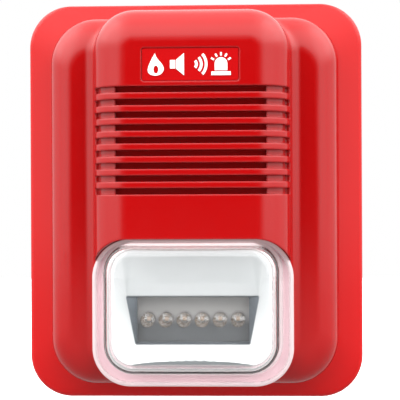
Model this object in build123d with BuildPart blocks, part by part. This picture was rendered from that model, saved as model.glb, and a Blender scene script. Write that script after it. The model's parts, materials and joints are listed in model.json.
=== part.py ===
from build123d import *
import math
import os

# Wall-mounted horn strobe. Millimetres. The origin is the centre of the mounting plate's
# back face, on the wall. +X is to the right, +Z is up, and the front faces -Y.
# A "depth" is a distance out from the wall, along -Y.

# --- Driving dimensions -------------------------------------------------------------

plate_width = 119.2
plate_height = 140.6
plate_corner = 15.0
plate_depth = 7.0
plate_skin = 2.5
plate_rim_depth = 2.9
plate_round = 2.2
plate_turn = 66.0
plate_margin = 0.4

shoulder_width = 101.0
shoulder_height = 128.6
shoulder_corner = 16.2
shoulder_face = 24.0
shoulder_round = 10.0
shoulder_side_round = 8.4
shoulder_end_round = 12.4
shoulder_draft = 3.0

block_width = 67.8
block_top = 65.4
block_bottom = -62.8
block_corner = 14.8
block_face = 42.0
block_round = 11.8
block_draft = 2.0
junction_round = 4.0
cover_wall = 2.5

lens_seat = 28.0
lens_middle = -38.05
gasket_thickness = 0.8
flange_width = 68.4
flange_height = 49.9
flange_corner = 13.0
flange_thickness = 2.0
flange_round = 1.2
lens_wall = 1.6
lens_crown = 48.5

louvre_count = 9
louvre_pitch = 4.22
louvre_middle = 20.0
louvre_height = 2.1
louvre_groove = 1.5
louvre_reach = 25.0

label_width = 32.2
label_height = 11.0
label_middle = 45.0
label_recess = 0.7

board_width = 84.0
board_height = 96.0
board_middle = 1.0
board_back = 13.0
board_thickness = 1.6

hinge_height = 63.2
hinge_depth = 9.3
hinge_bar_radius = 1.2
hinge_hook_width = 8.0
hinge_positions = (-22.0, 22.0)

lock_depth = 14.0
running_gap = 0.08

led_count = 6
led_pitch = 6.1
led_row = -40.5
led_radius = 2.5

terminal_ways = 4
terminal_pitch = 5.08
terminal_middle = -22.0
terminal_height = 10.0

# --- Values that follow from them ---------------------------------------------------

board_front = board_back + board_thickness
shoulder_inside = shoulder_face - 2.7
block_height = block_top - block_bottom
block_middle = (block_top + block_bottom) / 2
flange_back = lens_seat + gasket_thickness
flange_front = flange_back + flange_thickness
pocket_top = lens_middle + flange_height / 2 + 0.3
cavity_floor = pocket_top + cover_wall
seat_back = lens_seat - cover_wall
inside_face = block_face - cover_wall
sounder_middle = louvre_middle


# --- Shared operations --------------------------------------------------------------


def front(depth):
    """The plane at a depth from the wall, looking out: local x is +X, local y is +Z."""
    return Plane.XZ.offset(depth)


def slab(start, width, height, corner, thickness, centre=(0, 0), taper=0, mode=Mode.ADD):
    """A rounded rectangle extruded outward from a depth, into the part being built."""
    with BuildSketch(front(start)) as outline:
        with Locations(centre):
            RectangleRounded(width, height, corner)
    extrude(outline.sketch, amount=thickness, taper=taper, mode=mode)


def block(start, width, height, thickness, centres=((0, 0),), mode=Mode.ADD):
    """Square-cornered rectangles extruded outward from a depth."""
    with BuildSketch(front(start)) as outline:
        with Locations(*centres):
            Rectangle(width, height)
    extrude(outline.sketch, amount=thickness, mode=mode)


def posts(start, radius, thickness, centres, mode=Mode.ADD):
    """Round posts, or holes, extruded outward from a depth."""
    with BuildSketch(front(start)) as outline:
        with Locations(*centres):
            Circle(radius)
    extrude(outline.sketch, amount=thickness, mode=mode)


def rear_screws(centres, head_depth, head_radius, head_height, shank_radius, length):
    """Pan-head screws driven outward from the wall side, each with a cross recess."""
    posts(head_depth, head_radius, head_height, centres)
    posts(head_depth + head_height, shank_radius, length, centres)
    recess = head_height * 0.55
    arm = head_radius * 1.25
    block(head_depth, arm, arm * 0.28, recess, centres, mode=Mode.SUBTRACT)
    block(head_depth, arm * 0.28, arm, recess, centres, mode=Mode.SUBTRACT)


def wire(points, radius):
    """A round wire along a smooth curve through points given as (x, depth, z)."""
    with BuildLine() as path:
        Spline(*[(x, -depth, z) for x, depth, z in points])
    start = Plane(origin=path.line @ 0, z_dir=path.line % 0)
    with BuildSketch(start) as section:
        Circle(radius)
    sweep(section.sketch, path=path.line)


def four_corners(half_width, half_height, middle=0.0):
    """The four corners of a rectangle centred on x = 0."""
    return [
        (side * half_width, middle + end * half_height)
        for side in (-1, 1)
        for end in (-1, 1)
    ]


def plate_form():
    """The plate's outside: upright rim, rounded edge, then a slope up to the cover's foot."""
    steps = 4
    sections = []
    for step in range(steps + 1):
        turn = math.radians(plate_turn * step / steps)
        pull = plate_round * (1 - math.cos(turn))
        with BuildSketch(front(plate_rim_depth + plate_round * math.sin(turn))) as section:
            RectangleRounded(plate_width - 2 * pull, plate_height - 2 * pull, plate_corner - pull)
        sections.append(section.sketch)
    with BuildSketch(front(plate_depth)) as face:
        RectangleRounded(
            shoulder_width + 2 * plate_margin,
            shoulder_height + 2 * plate_margin,
            shoulder_corner + plate_margin,
        )
    with BuildPart() as form:
        slab(0, plate_width, plate_height, plate_corner, plate_rim_depth)
        loft(sections=sections)
        loft(sections=[sections[-1], face.sketch], ruled=True)
    return form.part


def shoulder_form(inset, face):
    """The broad lower step of the cover, or its hollow when inset by the wall.

    The rounding of its front edge is elliptical: longer at the top and bottom than at
    the sides, so it is lofted through sections spaced round a quarter of a turn.
    """
    steps = 6
    foot = face - shoulder_round + inset
    spread = (foot - plate_depth) * math.tan(math.radians(shoulder_draft))
    width = shoulder_width - 2 * (inset + spread)
    height = shoulder_height - 2 * (inset + spread)
    corner = shoulder_corner - inset - spread
    sections = []
    for step in range(steps + 1):
        turn = math.radians(90 * step / steps)
        pull = 1 - math.cos(turn)
        with BuildSketch(front(foot + (shoulder_round - inset) * math.sin(turn))) as section:
            RectangleRounded(
                width - 2 * pull * (shoulder_side_round - inset),
                height - 2 * pull * (shoulder_end_round - inset),
                corner - pull * (shoulder_side_round - inset),
            )
        sections.append(section.sketch)
    with BuildPart() as form:
        slab(
            plate_depth,
            shoulder_width - 2 * inset,
            shoulder_height - 2 * inset,
            shoulder_corner - inset,
            foot - plate_depth,
            taper=shoulder_draft,
        )
        loft(sections=sections)
    return form.part


def block_form(inset, face):
    """The tall raised block of the cover, or the same shape inset on every side."""
    with BuildPart() as form:
        slab(
            plate_depth,
            block_width - 2 * inset,
            block_height - 2 * inset,
            block_corner - inset,
            face - plate_depth,
            centre=(0, block_middle),
            taper=block_draft,
        )
        fillet(form.edges().group_by(Axis.Y)[0], block_round - inset)
    return form.part


def lens_form(inset):
    """The clear dome: nearly upright sides and a round-edged front face that bows out."""
    foot_width, foot_height, foot_middle = 59.7, 44.6, -36.0
    nose_width, nose_height, nose_middle = 56.6, 42.0, -35.1
    foot_corner, nose_corner = 10.5, 9.5
    edge_round = 5.0
    side_crown = lens_crown - 3.6
    reach = lens_crown + 4
    with BuildPart() as form:
        with BuildSketch(front(flange_back)):
            with Locations((0, foot_middle)):
                RectangleRounded(
                    foot_width - 2 * inset, foot_height - 2 * inset, foot_corner - inset
                )
        with BuildSketch(front(reach)):
            with Locations((0, nose_middle)):
                RectangleRounded(
                    nose_width - 2 * inset, nose_height - 2 * inset, nose_corner - inset
                )
        loft(ruled=True)
        with BuildSketch(Plane.XY.offset(lens_middle - flange_height)):
            with BuildLine():
                ThreePointArc(
                    (-foot_width / 2, -side_crown + inset),
                    (0, -lens_crown + inset),
                    (foot_width / 2, -side_crown + inset),
                )
                Polyline(
                    (foot_width / 2, -side_crown + inset),
                    (foot_width / 2, -flange_back),
                    (-foot_width / 2, -flange_back),
                    (-foot_width / 2, -side_crown + inset),
                )
            make_face()
        extrude(amount=2 * flange_height, mode=Mode.INTERSECT)
        fillet(form.faces().sort_by(Axis.Y)[0].edges(), edge_round - inset)
    return form.part


# --- Mounting plate -----------------------------------------------------------------

wall_screws = four_corners(40.0, 50.0)
wall_screw_radius = 2.25
box_slot_spacing = 60.3
box_slot_length = 8.0
opening_width = 44.0
opening_height = 64.0
rim = 2.5

with BuildPart() as mounting_plate:
    add(plate_form())
    slab(
        0,
        plate_width - 2 * rim,
        plate_height - 2 * rim,
        plate_corner - rim,
        plate_depth - plate_skin,
        mode=Mode.SUBTRACT,
    )
    # Bosses that carry the wall screws, the box slots and the edge of the wiring opening.
    posts(0, 5.5, plate_depth, wall_screws)
    for side in (-1, 1):
        slab(0, 15.0, 11.0, 5.4, plate_depth, centre=(side * box_slot_spacing / 2, 0))
    slab(0, opening_width + 4, opening_height + 4, 5.0, plate_depth)
    # Stiffening ribs, stopping short of the wall.
    rib_start = 1.0
    rib_reach = plate_depth - plate_skin - rib_start
    for height in (-50.0, 50.0):
        block(rib_start, plate_width - 2 * rim, 1.6, rib_reach, [(0, height)])
    for side in (-40.0, 40.0):
        block(rib_start, 1.6, plate_height - 2 * rim, rib_reach, [(side, 0)])
    slab(0, opening_width, opening_height, 3.0, plate_depth, mode=Mode.SUBTRACT)
    posts(0, wall_screw_radius, plate_depth, wall_screws, mode=Mode.SUBTRACT)
    with BuildSketch(front(0)):
        with Locations((-box_slot_spacing / 2, 0), (box_slot_spacing / 2, 0)):
            SlotOverall(box_slot_length, 2 * wall_screw_radius)
    extrude(amount=plate_depth, mode=Mode.SUBTRACT)
    # Side ribs that centre the cover.
    block(plate_depth, 1.6, 80.0, 3.5, [(-46.6, 0), (46.6, 0)])
    # Hooks that carry the cover's hinge bars: open at the top.
    for middle in hinge_positions:
        with BuildSketch(Plane.YZ.offset(middle - hinge_hook_width / 2)):
            with Locations((-hinge_depth, hinge_height)):
                Circle(2.5)
            with BuildLine():
                Polyline(
                    (-plate_depth, hinge_height - 4.2),
                    (-plate_depth, hinge_height - 0.2),
                    (-hinge_depth, hinge_height - 0.2),
                    (-hinge_depth - 1.4, hinge_height - 2.0),
                    close=True,
                )
            make_face()
            with Locations((-hinge_depth, hinge_height)):
                Circle(hinge_bar_radius + running_gap, mode=Mode.SUBTRACT)
            with Locations((-hinge_depth + 1, hinge_height + 2)):
                Rectangle(7.4, 4, mode=Mode.SUBTRACT)
        extrude(amount=hinge_hook_width)
    # Lock tab: a fork that the lock screw enters from the front as the cover closes.
    tab_bottom = -58.1
    tab_top = -56.1
    with BuildSketch(Plane.XY.offset(tab_bottom)):
        with BuildLine():
            Polyline(
                (-6, -plate_depth),
                (-6, -18),
                (-2.2, -18),
                (-2.2, -lock_depth),
            )
            ThreePointArc((-2.2, -lock_depth), (0, -lock_depth + 2.2), (2.2, -lock_depth))
            Polyline(
                (2.2, -lock_depth),
                (2.2, -18),
                (6, -18),
                (6, -plate_depth),
                (-6, -plate_depth),
            )
        make_face()
    extrude(amount=tab_top - tab_bottom)
    block(plate_depth, 1.2, 4.5, 5.0, [(-5.4, tab_top + 2.2), (5.4, tab_top + 2.2)])
mounting_plate.part.label = "mounting_plate"

# --- Front cover --------------------------------------------------------------------

standoffs = four_corners(38.0, 43.0, board_middle)
standoff_radius = 3.2
pilot_radius = 1.25
sounder_fixings = four_corners(22.0, 21.6, sounder_middle)
baffle_front = 37.8
baffle_thickness = 1.6
reflector_fixings = [(-18.0, -22.8), (18.0, -22.8), (0.0, -53.7)]
led_board_fixings = [(-22.7, led_row), (22.7, led_row)]
led_board_back = 22.4
led_board_front = led_board_back + board_thickness
lens_legs = four_corners(28.8, 9.0, lens_middle)
leg_width = 4.0
leg_thickness = 1.4
leg_slot_width = leg_width + 0.4
leg_slot_thickness = leg_thickness + 0.4
window_width = 38.0
window_height = 15.3
lock_boss_top = -59.9
lock_head_top = -62.0

shoulder_outer = shoulder_form(0, shoulder_face)
shoulder_hollow = shoulder_form(2.6, shoulder_inside)
block_outer = block_form(0, block_face)
block_hollow = block_form(cover_wall, inside_face)
groove_core = block_form(louvre_groove, block_face - louvre_groove)

# The hollow behind the louvres, above the lens, and the shallower one behind the lens.
with BuildPart() as upper_hollow:
    add(block_hollow)
    block(0, 200, 100, 100, [(0, cavity_floor - 50)], mode=Mode.SUBTRACT)

with BuildPart() as lower_hollow:
    add(block_hollow)
    block(seat_back, 200, 200, 100, mode=Mode.SUBTRACT)

# Grooves that follow the block's section: bars with the inset block taken out of them.
louvre_heights = [
    louvre_middle + (index - (louvre_count - 1) / 2) * louvre_pitch
    for index in range(louvre_count)
]
with BuildPart() as louvre_grooves:
    block(27.2, 90, louvre_height, 20, [(0, height) for height in louvre_heights])
    add(groove_core, mode=Mode.SUBTRACT)

with BuildPart() as front_cover:
    add(shoulder_outer)
    add(block_outer)
    # The inside corner where the block rises from the shoulder's flat face.
    rising = front_cover.edges().filter_by(GeomType.LINE).filter_by(Axis.Z)
    rising = rising.filter_by_position(Axis.Y, -shoulder_face - 0.1, -shoulder_face + 0.1)
    fillet(rising, junction_round)
    slab(
        lens_seat,
        flange_width + 0.6,
        flange_height + 0.6,
        flange_corner + 0.3,
        40,
        centre=(0, lens_middle),
        mode=Mode.SUBTRACT,
    )
    add(louvre_grooves.part, mode=Mode.SUBTRACT)
    slab(
        block_face - label_recess,
        label_width,
        label_height,
        0.8,
        5,
        centre=(0, label_middle),
        mode=Mode.SUBTRACT,
    )
    add(shoulder_hollow, mode=Mode.SUBTRACT)
    add(upper_hollow.part, mode=Mode.SUBTRACT)
    add(lower_hollow.part, mode=Mode.SUBTRACT)
    block(
        inside_face - 1,
        2 * louvre_reach,
        louvre_height,
        10,
        [(0, height) for height in louvre_heights],
        mode=Mode.SUBTRACT,
    )
    # Standoffs for the circuit board.
    posts(board_front, standoff_radius, shoulder_face - 1 - board_front, standoffs)
    posts(board_front, pilot_radius, 6.0, standoffs, mode=Mode.SUBTRACT)
    # Bosses for the baffle and the sounder, behind the block's face.
    posts(baffle_front, 2.6, inside_face - baffle_front + 0.5, sounder_fixings)
    posts(baffle_front, pilot_radius, 2.6, sounder_fixings, mode=Mode.SUBTRACT)
    # Seat behind the lens: reflector opening, screw holes, board posts and leg slots.
    slab(
        seat_back,
        window_width + 3.2,
        window_height + 3.2,
        1.5,
        cover_wall,
        centre=(0, led_row),
        mode=Mode.SUBTRACT,
    )
    posts(seat_back, 1.6, cover_wall, reflector_fixings, mode=Mode.SUBTRACT)
    posts(led_board_front, 1.9, seat_back - led_board_front, led_board_fixings)
    posts(led_board_front, 1.05, 3.0, led_board_fixings, mode=Mode.SUBTRACT)
    block(
        seat_back, leg_slot_thickness, leg_slot_width, cover_wall, lens_legs, mode=Mode.SUBTRACT
    )
    # Lock screw: a thickened bottom wall, its hole and the counterbore for the head.
    with BuildSketch(Plane.XY.offset(-63.0)):
        with Locations((0, -lock_depth)):
            Circle(4.6)
    extrude(amount=lock_boss_top + 63.0)
    with BuildSketch(Plane.XY.offset(lock_head_top + 0.05)):
        with Locations((0, -lock_depth)):
            Circle(3.0)
    extrude(amount=-10, mode=Mode.SUBTRACT)
    with BuildSketch(Plane.XY.offset(-66)):
        with Locations((0, -lock_depth)):
            Circle(1.5 + running_gap)
    extrude(amount=10, mode=Mode.SUBTRACT)
    # Ribs that keep the lock nut from turning.
    block(11.5, 1.2, 5.4, seat_back - 11.5, [(-3.8, -53.2), (3.8, -53.2)])
    # Hinge: the top rear edge is rounded about the hinge axis, so it clears the plate.
    with BuildSketch(Plane.YZ.offset(-60)):
        with Locations((-hinge_depth + 2, hinge_height + 2)):
            Rectangle(4, 4)
        with Locations((-hinge_depth, hinge_height)):
            Circle(2.2, mode=Mode.SUBTRACT)
    extrude(amount=120, mode=Mode.SUBTRACT)
    for middle in hinge_positions:
        with BuildSketch(Plane.YZ.offset(middle - hinge_hook_width / 2 - 0.5)):
            with Locations((-hinge_depth - 0.4, hinge_height)):
                Rectangle(5.6, 9)
        extrude(amount=hinge_hook_width + 1, mode=Mode.SUBTRACT)
        with BuildSketch(Plane.YZ.offset(middle - hinge_hook_width / 2 - 1.5)):
            with Locations((-hinge_depth, hinge_height)):
                Circle(hinge_bar_radius)
        extrude(amount=hinge_hook_width + 3)
front_cover.part.label = "front_cover"

# --- Lens, gasket and the plate behind the louvres ----------------------------------

# The reflector's base is a thin lip that lies inside the gasket, under the dome's wall.
base_width = 59.2
base_height = 42.4
base_corner = 10.2
base_middle = -36.8
base_gap = 0.3
lens_outer = lens_form(0)
lens_hollow = lens_form(lens_wall)

with BuildPart() as strobe_lens:
    slab(
        flange_back,
        flange_width,
        flange_height,
        flange_corner,
        flange_thickness,
        centre=(0, lens_middle),
    )
    fillet(strobe_lens.edges().group_by(Axis.Y)[0], flange_round)
    add(lens_outer)
    add(lens_hollow, mode=Mode.SUBTRACT)
    # Snap legs that pass through the seat and hook behind it.
    legs_back = seat_back - 1.4
    block(legs_back, leg_thickness, leg_width, flange_back + 0.5 - legs_back, lens_legs)
    for side in (-1, 1):
        hooks = [(x + side * 0.35, z) for x, z in lens_legs if x * side > 0]
        block(legs_back, leg_thickness + 0.7, leg_width, 1.2, hooks)
strobe_lens.part.label = "strobe_lens"

with BuildPart() as lens_gasket:
    slab(
        lens_seat,
        flange_width - 1.0,
        flange_height - 1.0,
        flange_corner - 0.5,
        gasket_thickness,
        centre=(0, lens_middle),
    )
    slab(
        lens_seat,
        base_width + 2 * base_gap,
        base_height + 2 * base_gap,
        base_corner + base_gap,
        gasket_thickness,
        centre=(0, base_middle),
        mode=Mode.SUBTRACT,
    )
lens_gasket.part.label = "lens_gasket"

baffle_back = baffle_front - baffle_thickness
with BuildPart() as sound_baffle:
    slab(baffle_back, 51.0, 51.0, 5.0, baffle_thickness, centre=(0, sounder_middle))
    gaps = [(0, height + louvre_pitch / 2) for height in louvre_heights[:-1]]
    block(baffle_back, 44.0, 1.5, baffle_thickness, gaps, mode=Mode.SUBTRACT)
    posts(baffle_back, 1.5, baffle_thickness, sounder_fixings, mode=Mode.SUBTRACT)
sound_baffle.part.label = "sound_baffle"

# --- Label --------------------------------------------------------------------------

label_thickness = 0.5
label_front = block_face - label_recess + label_thickness
symbol_thickness = 0.2

with BuildPart() as label_plate:
    slab(
        block_face - label_recess,
        label_width - 0.3,
        label_height - 0.3,
        0.7,
        label_thickness,
        centre=(0, label_middle),
    )
label_plate.part.label = "label_plate"

# Four plain symbols in a row: a flame, a horn, sound waves and a lamp with rays.
symbol_half = 3.7
wave_turn = 42
flame_x, horn_x, waves_x, lamp_x = -11.3, -4.1, 2.6, 10.2


def symbol_plane(middle):
    """The label's face, with its origin at the middle of one symbol."""
    return Plane(origin=(middle, -label_front, label_middle), x_dir=(1, 0, 0), z_dir=(0, -1, 0))


with BuildPart() as label_symbols:
    with BuildSketch(symbol_plane(flame_x)):
        with BuildLine():
            Spline(
                (0, -symbol_half),
                (-2.7, -1.7),
                (-1.9, 0.7),
                (-0.3, symbol_half),
                tangents=((-1, 0), (0.6, 1)),
            )
            Spline(
                (-0.3, symbol_half),
                (1.0, 1.3),
                (2.6, -1.4),
                (0, -symbol_half),
                tangents=((0.2, -1), (-1, 0)),
            )
        make_face()
        with Locations((0, -1.7)):
            Ellipse(0.8, 1.3, mode=Mode.SUBTRACT)
    with BuildSketch(symbol_plane(horn_x)):
        with Locations((-1.7, 0)):
            Rectangle(1.7, 2.8)
        with BuildLine():
            Polyline((-0.6, -1.4), (2.1, -symbol_half), (2.1, symbol_half), (-0.6, 1.4), close=True)
        make_face()
    with BuildSketch(symbol_plane(waves_x)):
        for radius in (1.7, 3.3, 4.9):
            with BuildLine():
                inner = CenterArc((-2.2, 0), radius - 0.45, -wave_turn, 2 * wave_turn)
                outer = CenterArc((-2.2, 0), radius + 0.45, -wave_turn, 2 * wave_turn)
                Line(inner @ 0, outer @ 0)
                Line(inner @ 1, outer @ 1)
            make_face()
    with BuildSketch(symbol_plane(lamp_x)):
        with Locations((0, 0.6 - symbol_half)):
            Rectangle(6.4, 1.2)
        with Locations((0, -1.0)):
            Rectangle(4.2, 2.2)
        with Locations((0, 0.1)):
            Circle(2.1)
            with PolarLocations(3.2, 5, 30, 120, endpoint=True):
                Rectangle(1.1, 0.6)
    extrude(amount=symbol_thickness)
label_symbols.part.label = "label_symbols"

# --- Reflector and its screws -------------------------------------------------------

reflector_back = seat_back - 0.3
reflector_flare = 31.0
reflector_mouth = 37.0
reflector_wall = 1.2
flare_top = -32.2
flare_bottom = -48.6
flare_top_width = 45.1
flare_bottom_width = 38.6
mouth_width = 52.4
mouth_height = 37.5
mouth_middle = -35.7
mouth_corner = 7.0
neck_corner = 0.6
skirt_width = 55.9
skirt_height = 40.8
skirt_corner = 8.6
skirt_middle = -36.0
rim_depth = 4.0
boss_radius = 2.1
boss_length = 6.8
boss_hole_radius = 0.95
boss_hole_depth = 4.2
scoop_radius = 110.0
scoop_top = -52.8


def flare_outline(widen):
    """The trapezium where the neck's sides have opened out, wider at the top."""
    top, bottom = flare_top + widen, flare_bottom - widen
    half_top = flare_top_width / 2 + widen
    half_bottom = flare_bottom_width / 2 + widen
    with BuildSketch(front(reflector_flare)) as outline:
        with BuildLine():
            Polyline(
                (half_bottom, bottom),
                (half_top, top),
                (-half_top, top),
                (-half_bottom, bottom),
                close=True,
            )
        make_face()
        fillet(outline.vertices(), neck_corner + widen)
    return outline.sketch


def reflector_form(widen, overrun):
    """A straight neck through the seat, a flare with leaning sides, then a funnel."""
    neck_width = window_width + 2 * widen
    neck_height = window_height + 2 * widen
    with BuildPart() as form:
        slab(
            reflector_back - overrun,
            neck_width,
            neck_height,
            neck_corner + widen,
            lens_seat - reflector_back + overrun,
            centre=(0, led_row),
        )
        with BuildSketch(front(lens_seat)) as neck:
            with Locations((0, led_row)):
                RectangleRounded(neck_width, neck_height, neck_corner + widen)
        with BuildSketch(front(reflector_mouth + overrun)) as mouth:
            with Locations((0, mouth_middle)):
                RectangleRounded(
                    mouth_width + 2 * widen, mouth_height + 2 * widen, mouth_corner + widen
                )
        flare = flare_outline(widen)
        loft(sections=[neck.sketch, flare], ruled=True)
        loft(sections=[flare, mouth.sketch], ruled=True)
    return form.part


def skirt_form(inset, end):
    """The reflector's outside, close under the lens: from its base on the seat to its rim."""
    with BuildPart() as form:
        with BuildSketch(front(lens_seat)) as foot:
            with Locations((0, skirt_middle)):
                RectangleRounded(
                    skirt_width - 2 * inset, skirt_height - 2 * inset, skirt_corner - inset
                )
        with BuildSketch(front(end)) as rim_outline:
            with Locations((0, mouth_middle)):
                RectangleRounded(
                    mouth_width + 2 * (reflector_wall - inset),
                    mouth_height + 2 * (reflector_wall - inset),
                    mouth_corner + reflector_wall - inset,
                )
        loft(sections=[foot.sketch, rim_outline.sketch], ruled=True)
    return form.part


reflector_outer = reflector_form(reflector_wall, 0)
reflector_hollow = reflector_form(0, 0.01)
skirt_outer = skirt_form(0, reflector_mouth)
skirt_hollow = skirt_form(reflector_wall, reflector_mouth - rim_depth)
with BuildPart() as reflector:
    add(skirt_outer)
    slab(
        lens_seat,
        base_width,
        base_height,
        base_corner,
        gasket_thickness - 0.1,
        centre=(0, base_middle),
    )
    block(
        lens_seat,
        leg_slot_thickness,
        leg_slot_width,
        gasket_thickness,
        lens_legs,
        mode=Mode.SUBTRACT,
    )
    add(skirt_hollow, mode=Mode.SUBTRACT)
    add(reflector_outer)
    posts(lens_seat, boss_radius, boss_length, reflector_fixings)
    add(reflector_hollow, mode=Mode.SUBTRACT)
    posts(lens_seat, boss_hole_radius, boss_hole_depth, reflector_fixings, mode=Mode.SUBTRACT)
    # A shallow scoop under the lower lip, arched across its width.
    lip = Vector(0, -reflector_mouth, scoop_top)
    scoop_centre = lip + Vector(0, -1, -1).normalized() * scoop_radius
    with BuildSketch(Plane(origin=scoop_centre, x_dir=(1, 0, 0), z_dir=(0, 1, -1))):
        Circle(scoop_radius)
    extrude(amount=8, both=True, mode=Mode.SUBTRACT)
reflector.part.label = "reflector"

with BuildPart() as reflector_screws:
    rear_screws(reflector_fixings, seat_back - 1.5, 2.1, 1.5, 0.9, 6.2)
reflector_screws.part.label = "reflector_screws"

# --- Strobe lamp board --------------------------------------------------------------

led_places = [((index - (led_count - 1) / 2) * led_pitch, led_row) for index in range(led_count)]
led_flange = 0.9
led_length = 8.6
leg_offset = 1.27
led_legs = [(x + side * leg_offset, z) for x, z in led_places for side in (-1, 1)]

with BuildPart() as led_board:
    slab(led_board_back, 50.0, 19.0, 1.0, board_thickness, centre=(0, led_row))
    posts(led_board_back, 1.2, board_thickness, led_board_fixings, mode=Mode.SUBTRACT)
    posts(led_board_back, 0.4, board_thickness, led_legs, mode=Mode.SUBTRACT)
led_board.part.label = "led_board"

with BuildPart() as led_board_screws:
    rear_screws(led_board_fixings, led_board_back - 1.4, 2.0, 1.4, 1.0, 4.2)
led_board_screws.part.label = "led_board_screws"

with BuildPart() as strobe_leds:
    posts(led_board_front, led_radius + 0.4, led_flange, led_places)
    stem = led_length - led_radius - led_flange
    posts(led_board_front + led_flange, led_radius, stem, led_places)
    with Locations(*[(x, -led_board_front - led_flange - stem, z) for x, z in led_places]):
        Sphere(led_radius)
    posts(led_board_front, 0.28, 1.5, led_legs, mode=Mode.SUBTRACT)
strobe_leds.part.label = "strobe_leds"

with BuildPart() as led_leads:
    posts(led_board_back - 1.5, 0.25, led_board_front + 1.4 - led_board_back + 1.5, led_legs)
led_leads.part.label = "led_leads"

led_resistor_places = [(index * 7.6 - 15.2, -34.2) for index in range(5)]
with BuildPart() as led_resistors:
    block(led_board_back - 0.6, 3.2, 1.6, 0.6, led_resistor_places)
led_resistors.part.label = "led_resistors"

# --- Sounder ------------------------------------------------------------------------

sounder_centre = [(0, sounder_middle)]
sounder_flange_back = baffle_back - 2.0
cup_back = 22.0
cup_radius = 22.0
disc_back = 32.6
disc_thickness = 0.3
ring_thickness = 2.0
wire_hole = (28.0, sounder_middle)

with BuildPart() as sounder_case:
    slab(sounder_flange_back, 52.0, 50.0, 5.0, 2.0, centre=(0, sounder_middle))
    posts(cup_back, cup_radius, sounder_flange_back - cup_back, sounder_centre)
    fillet(sounder_case.edges().group_by(Axis.Y)[-1], 1.5)
    posts(cup_back + 1.6, 16.5, 20.0, sounder_centre, mode=Mode.SUBTRACT)
    posts(disc_back, 20.0, 20.0, sounder_centre, mode=Mode.SUBTRACT)
    posts(sounder_flange_back, 1.5, 2.0, sounder_fixings, mode=Mode.SUBTRACT)
    with BuildSketch(Plane.YZ.offset(-cup_radius - 1)):
        with Locations((-wire_hole[0], wire_hole[1])):
            SlotOverall(4.4, 2.4, rotation=90)
    extrude(amount=8.0, mode=Mode.SUBTRACT)
sounder_case.part.label = "sounder_case"

with BuildPart() as piezo_disc:
    posts(disc_back, 17.5, disc_thickness, sounder_centre)
piezo_disc.part.label = "piezo_disc"

with BuildPart() as piezo_ceramic:
    posts(disc_back - 0.25, 12.5, 0.25, sounder_centre)
piezo_ceramic.part.label = "piezo_ceramic"

with BuildPart() as sounder_ring:
    posts(disc_back + disc_thickness, 19.7, ring_thickness, sounder_centre)
    posts(disc_back + disc_thickness, 15.5, ring_thickness, sounder_centre, mode=Mode.SUBTRACT)
sounder_ring.part.label = "sounder_ring"

foam_back = disc_back + disc_thickness + ring_thickness
with BuildPart() as sounder_foam:
    posts(foam_back, 19.4, baffle_back - foam_back, sounder_centre)
    posts(foam_back, 16.5, baffle_back - foam_back, sounder_centre, mode=Mode.SUBTRACT)
sounder_foam.part.label = "sounder_foam"

with BuildPart() as sounder_screws:
    rear_screws(sounder_fixings, sounder_flange_back - 1.7, 2.6, 1.7, 1.2, 5.8)
sounder_screws.part.label = "sounder_screws"

# --- Main circuit board -------------------------------------------------------------

terminal_places = [
    ((index - (terminal_ways - 1) / 2) * terminal_pitch, terminal_middle)
    for index in range(terminal_ways)
]
terminal_back = board_back - terminal_height
pin_places = [(x, terminal_middle + 2.0) for x, _ in terminal_places]
capacitor_places = [(-13.5, 44.0), (13.5, 44.0), (26.0, 33.0)]
coil_place = [(23.0, -17.0)]
chip_place = (0, -6.0)
transistor_place = (-24.0, -14.0)
header_places = [(-26.5, 12.0), (-26.5, -28.0)]

with BuildPart() as main_board:
    slab(board_back, board_width, board_height, 2.0, board_thickness, centre=(0, board_middle))
    posts(board_back, 1.6, board_thickness, standoffs, mode=Mode.SUBTRACT)
    posts(board_back, 0.6, board_thickness, pin_places, mode=Mode.SUBTRACT)
main_board.part.label = "main_board"

with BuildPart() as board_screws:
    rear_screws(standoffs, board_back - 1.8, 2.75, 1.8, 1.2, 6.0)
board_screws.part.label = "board_screws"

with BuildPart() as capacitors:
    for radius, length, place in zip((4.0, 4.0, 3.15), (11.0, 11.0, 7.0), capacitor_places):
        posts(board_front, radius, length, [place])
    fillet(capacitors.edges().filter_by(GeomType.CIRCLE), 0.4)
capacitors.part.label = "capacitors"

with BuildPart() as inductor_core:
    posts(board_front, 5.5, 1.2, coil_place)
    posts(board_front + 1.2, 2.4, 5.6, coil_place)
    posts(board_front + 6.8, 5.5, 1.2, coil_place)
inductor_core.part.label = "inductor_core"

with BuildPart() as inductor_winding:
    posts(board_front + 1.25, 4.9, 5.5, coil_place)
    posts(board_front + 1.25, 2.45, 5.5, coil_place, mode=Mode.SUBTRACT)
inductor_winding.part.label = "inductor_winding"

transistor_x, transistor_z = transistor_place
with BuildPart() as power_transistor:
    block(board_front, 10.0, 15.5, 1.3, [(transistor_x, transistor_z + 3.2)])
    block(board_front + 1.3, 10.0, 9.0, 3.2, [transistor_place])
    leads = [(transistor_x + side * 2.54, transistor_z - 7.0) for side in (-1, 0, 1)]
    block(board_front, 0.9, 6.0, 0.8, leads)
    tab_hole = [(transistor_x, transistor_z + 7.8)]
    posts(board_front, 1.8, 1.3, tab_hole, mode=Mode.SUBTRACT)
power_transistor.part.label = "power_transistor"

chip_x, chip_z = chip_place
with BuildPart() as controller_chip:
    block(board_front + 0.3, 9.8, 6.4, 3.2, [chip_place])
    chip_legs = [
        (chip_x + (index - 1.5) * 2.54, chip_z + side * 3.8)
        for index in range(4)
        for side in (-1, 1)
    ]
    block(board_front, 1.2, 1.4, 1.8, chip_legs)
    posts(board_front + 3.1, 0.5, 1.0, [(chip_x - 3.7, chip_z)], mode=Mode.SUBTRACT)
controller_chip.part.label = "controller_chip"

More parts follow.
